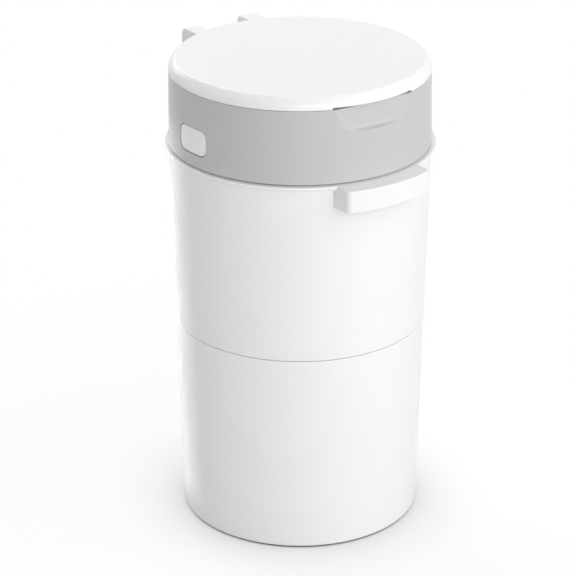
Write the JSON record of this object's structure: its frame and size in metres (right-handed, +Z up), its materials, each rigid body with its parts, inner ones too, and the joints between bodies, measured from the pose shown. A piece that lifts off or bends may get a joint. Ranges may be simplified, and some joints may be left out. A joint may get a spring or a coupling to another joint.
{
  "type": "nappy bin",
  "caption": "Round white nappy bin with a grey collar, hinged lid, side release buttons, front grip, and a tilting head with sprung trap flaps over a bag ring.",
  "frame": {"origin": "on the bin's axis, at the floor under its feet", "axes": "+Z up along the bin's axis; -Y to the front, where the grip and the finger recess are; +Y to the rear, where both hinges are; +X to the right of a person who stands in front of the bin, at -Y, and looks at it"},
  "size_m": [0.262, 0.295, 0.4688],
  "materials": {
    "white_shell": "satin moulded polypropylene, white",
    "white_rim": "satin moulded polypropylene, white",
    "white_lid": "satin moulded polypropylene, white",
    "button_white": "satin moulded plastic, white",
    "inner_white": "fine matt texture, white",
    "collar_grey": "fine satin texture, light grey",
    "bracket_grey": "fine satin texture, light grey",
    "inner_grey": "matt, light grey",
    "flap_grey": "matt, mid grey",
    "latch_grey": "slippery acetal, mid grey",
    "seal_rubber": "matt dark grey rubber",
    "foot_rubber": "matt dark rubber",
    "pin_steel": "turned steel",
    "screw_steel": "zinc plated steel",
    "spring_steel": "drawn spring steel"
  },
  "bodies": {
    "bin_body": {"lower_body": "white_shell", "upper_body": "white_shell", "body_seal": "seal_rubber", "grip_feet": "foot_rubber", "bag_ring_seat": "inner_white", "bag_ring": "inner_grey", "hinge_bracket": "bracket_grey", "bracket_screws": "screw_steel", "head_hinge_pin": "pin_steel", "pin_retainer": "seal_rubber"},
    "head": {"rim_ring": "white_rim", "rim_seal": "seal_rubber", "collar": "collar_grey", "head_screws": "screw_steel", "throat_funnel": "inner_white", "throat_seal": "seal_rubber", "front_flap_pin": "pin_steel", "rear_flap_pin": "pin_steel", "front_flap_spring": "spring_steel", "rear_flap_spring": "spring_steel", "left_button_spring": "spring_steel", "right_button_spring": "spring_steel", "lid_hinge_pin": "pin_steel"},
    "lid": {"lid_shell": "white_lid", "lid_liner": "inner_white", "lid_seal": "seal_rubber"},
    "front_flap": {"front_flap": "flap_grey"},
    "rear_flap": {"rear_flap": "flap_grey"},
    "left_button": {"left_button": "button_white", "left_latch": "latch_grey"},
    "right_button": {"right_button": "button_white", "right_latch": "latch_grey"}
  },
  "joints": [
    {"name": "head_tilt", "type": "hinge", "parent": "bin_body", "child": "head", "pos_m": [0, 0.1395, 0.3789], "axis": [-1, 0, 0], "range_deg": [0, 75]},
    {"name": "lid_hinge", "type": "hinge", "parent": "head", "child": "lid", "pos_m": [0, 0.1315, 0.45], "axis": [-1, 0, 0], "range_deg": [0, 105]},
    {"name": "front_flap_hinge", "type": "hinge", "parent": "head", "child": "front_flap", "pos_m": [0, -0.074, 0.3933], "axis": [-1, 0, 0], "range_deg": [0, 78], "stiffness_Nm_per_rad": 0.04, "springref_deg": -40.11, "deforming": ["front_flap_spring"]},
    {"name": "rear_flap_hinge", "type": "hinge", "parent": "head", "child": "rear_flap", "pos_m": [0, 0.074, 0.3933], "axis": [1, 0, 0], "range_deg": [0, 78], "stiffness_Nm_per_rad": 0.04, "springref_deg": -40.11, "deforming": ["rear_flap_spring"]},
    {"name": "left_button_press", "type": "slide", "parent": "head", "child": "left_button", "axis": [1, 0, 0], "range_m": [0, 0.0035], "stiffness_N_per_m": 900, "springref_m": -0.006, "deforming": ["left_button_spring"]},
    {"name": "right_button_press", "type": "slide", "parent": "head", "child": "right_button", "axis": [-1, 0, 0], "range_m": [0, 0.0035], "stiffness_N_per_m": 900, "springref_m": -0.006, "deforming": ["right_button_spring"]}
  ]
}
